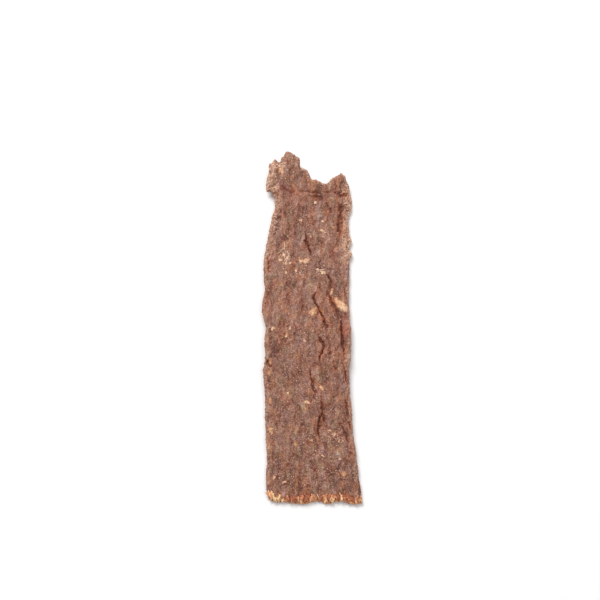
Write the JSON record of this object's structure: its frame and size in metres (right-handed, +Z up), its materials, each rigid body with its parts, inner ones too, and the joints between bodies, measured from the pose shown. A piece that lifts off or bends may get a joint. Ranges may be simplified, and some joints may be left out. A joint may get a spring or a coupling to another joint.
{
  "type": "venison jerky strip",
  "caption": "Flat strip of dried minced venison with torn ends, a bowed body, a curled top end and cracks along its grain.",
  "frame": {"origin": "on the surface that the strip lies on, under the middle of its bounding box", "axes": "+X across the strip, +Y along it towards the curled end, +Z up out of its upper face"},
  "size_m": [0.0397, 0.1525, 0.0064],
  "materials": {
    "dried_meat": "dry, rough, slightly greasy meat"
  },
  "bodies": {
    "root": {"jerky_strip": "dried_meat"}
  },
  "joints": []
}
